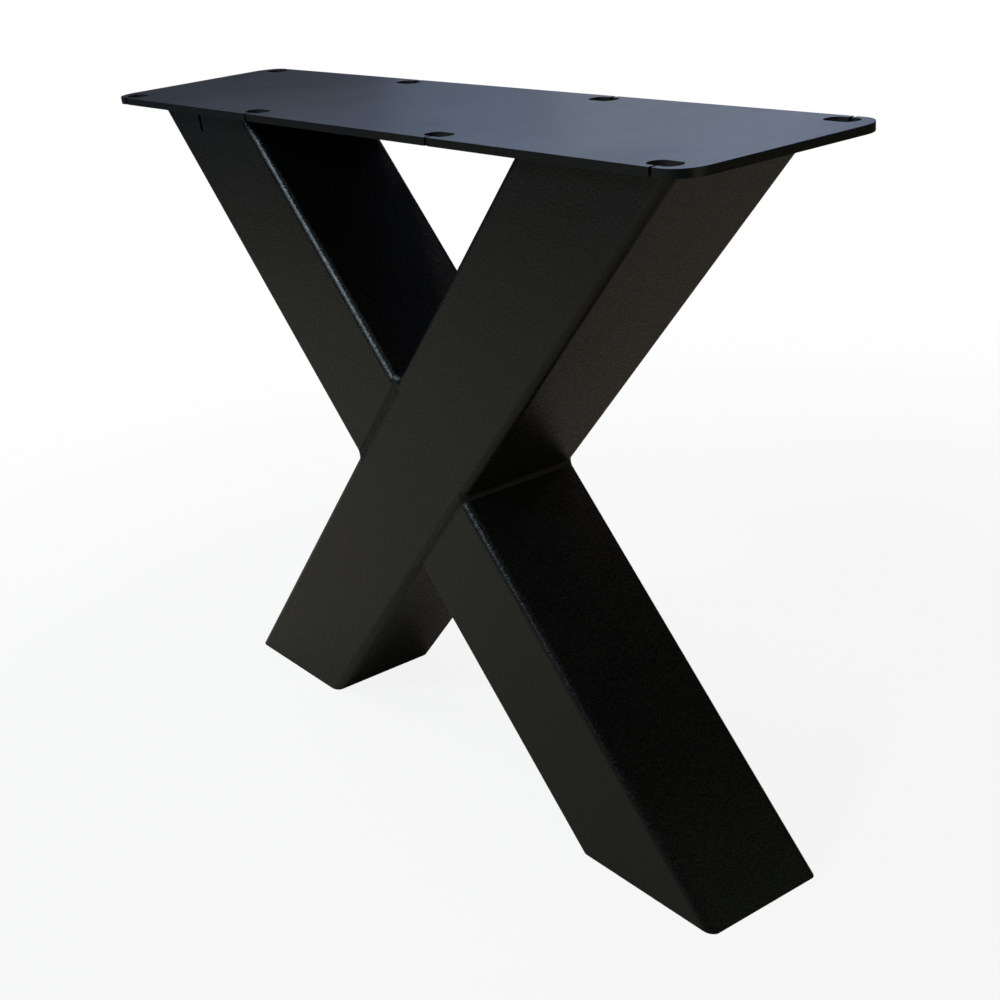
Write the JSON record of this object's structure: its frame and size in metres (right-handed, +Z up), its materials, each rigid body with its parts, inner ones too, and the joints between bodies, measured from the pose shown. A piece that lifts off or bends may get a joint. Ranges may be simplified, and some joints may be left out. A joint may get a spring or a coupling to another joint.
{
  "type": "x shaped table leg",
  "caption": "Crossed square steel tubes welded under a slotted rectangular mounting plate, carrying one end of a table or bench top.",
  "frame": {"origin": "on the floor, below the middle of the mounting plate", "axes": "+Z up, +X along the plate's length, +Y across the plate, from the front to the back"},
  "size_m": [0.55, 0.12, 0.4],
  "materials": {
    "powder_coat_plate": "black powder coat, fine texture, satin",
    "powder_coat_tube": "black powder coat, fine texture, satin",
    "powder_coat_weld": "weld metal under the same black powder coat, ground flush on the front and back faces"
  },
  "bodies": {
    "root": {"top_plate": "powder_coat_plate", "long_tube": "powder_coat_tube", "upper_half_tube": "powder_coat_tube", "lower_half_tube": "powder_coat_tube", "left_foot_cap": "powder_coat_tube", "right_foot_cap": "powder_coat_tube", "upper_joint_weld": "powder_coat_weld", "lower_joint_weld": "powder_coat_weld", "left_plate_weld": "powder_coat_weld", "right_plate_weld": "powder_coat_weld"}
  },
  "joints": []
}
